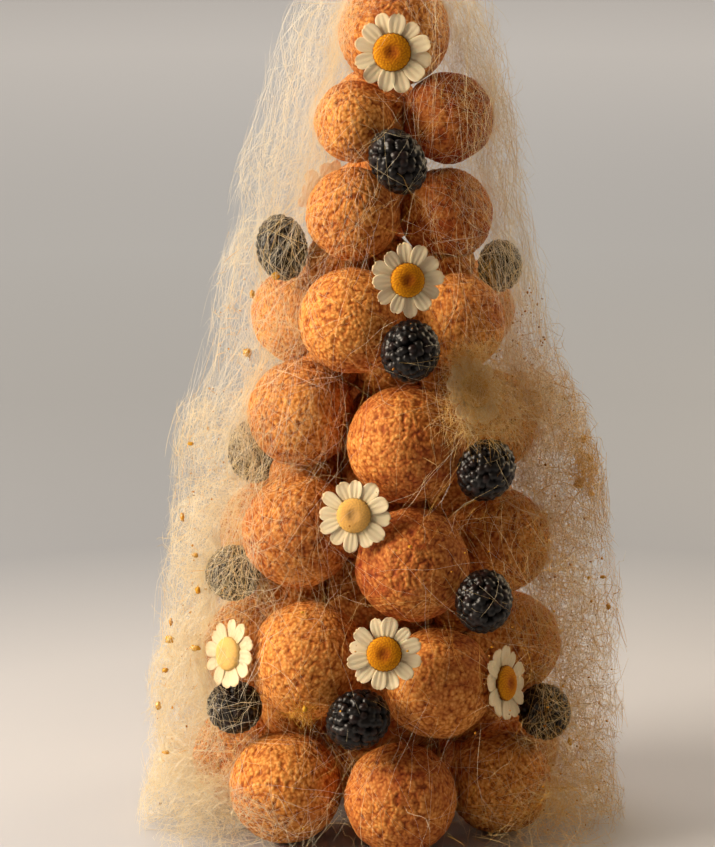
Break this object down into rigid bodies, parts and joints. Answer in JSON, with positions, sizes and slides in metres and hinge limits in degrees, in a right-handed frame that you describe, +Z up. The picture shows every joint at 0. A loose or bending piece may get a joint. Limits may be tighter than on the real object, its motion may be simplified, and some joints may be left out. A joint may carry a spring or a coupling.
{
  "type": "croquembouche",
  "caption": "Croquembouche: a tapering tower of craquelin choux puffs set in courses, with brambles and daisies between them, wrapped in a loose cloud of spun sugar.",
  "frame": {"origin": "on the table, under the middle of the tower and its cloud of spun sugar", "axes": "+Z up along the tower, -Y out of its front, +X to the right as seen from the front"},
  "size_m": [0.1816, 0.1648, 0.3321],
  "materials": {
    "choux_crust": "matte, pebbly baked craquelin crust",
    "bramble_skin": "satin dark berry skin",
    "petal_white": "soft white flower petal",
    "daisy_disc": "velvety golden flower disc",
    "spun_sugar": "fine pale caramel threads",
    "caramel_drop": "clear amber caramel"
  },
  "bodies": {
    "root": {"puff_1_1": "choux_crust", "puff_1_2": "choux_crust", "puff_1_3": "choux_crust", "puff_1_4": "choux_crust", "puff_1_5": "choux_crust", "puff_1_6": "choux_crust", "puff_1_7": "choux_crust", "puff_2_1": "choux_crust", "puff_2_2": "choux_crust", "puff_2_3": "choux_crust", "puff_2_4": "choux_crust", "puff_2_5": "choux_crust", "puff_2_6": "choux_crust", "puff_3_1": "choux_crust", "puff_3_2": "choux_crust", "puff_3_3": "choux_crust", "puff_3_4": "choux_crust", "puff_3_5": "choux_crust", "puff_3_6": "choux_crust", "puff_4_1": "choux_crust", "puff_4_2": "choux_crust", "puff_4_3": "choux_crust", "puff_4_4": "choux_crust", "puff_4_5": "choux_crust", "puff_5_1": "choux_crust", "puff_5_2": "choux_crust", "puff_5_3": "choux_crust", "puff_5_4": "choux_crust", "puff_5_5": "choux_crust", "puff_6_1": "choux_crust", "puff_6_2": "choux_crust", "puff_6_3": "choux_crust", "puff_7_1": "choux_crust", "puff_7_2": "choux_crust", "puff_7_3": "choux_crust", "puff_8_1": "choux_crust", "bramble_1": "bramble_skin", "bramble_2": "bramble_skin", "bramble_3": "bramble_skin", "bramble_4": "bramble_skin", "bramble_5": "bramble_skin", "bramble_6": "bramble_skin", "bramble_7": "bramble_skin", "bramble_8": "bramble_skin", "bramble_9": "bramble_skin", "bramble_10": "bramble_skin", "bramble_11": "bramble_skin", "bramble_12": "bramble_skin", "bramble_13": "bramble_skin", "bramble_14": "bramble_skin", "daisy_1": "petal_white", "daisy_2": "petal_white", "daisy_3": "petal_white", "daisy_4": "petal_white", "daisy_5": "petal_white", "daisy_6": "petal_white", "daisy_7": "petal_white", "daisy_8": "petal_white", "daisy_9": "petal_white", "spun_sugar": "spun_sugar"}
  },
  "joints": []
}
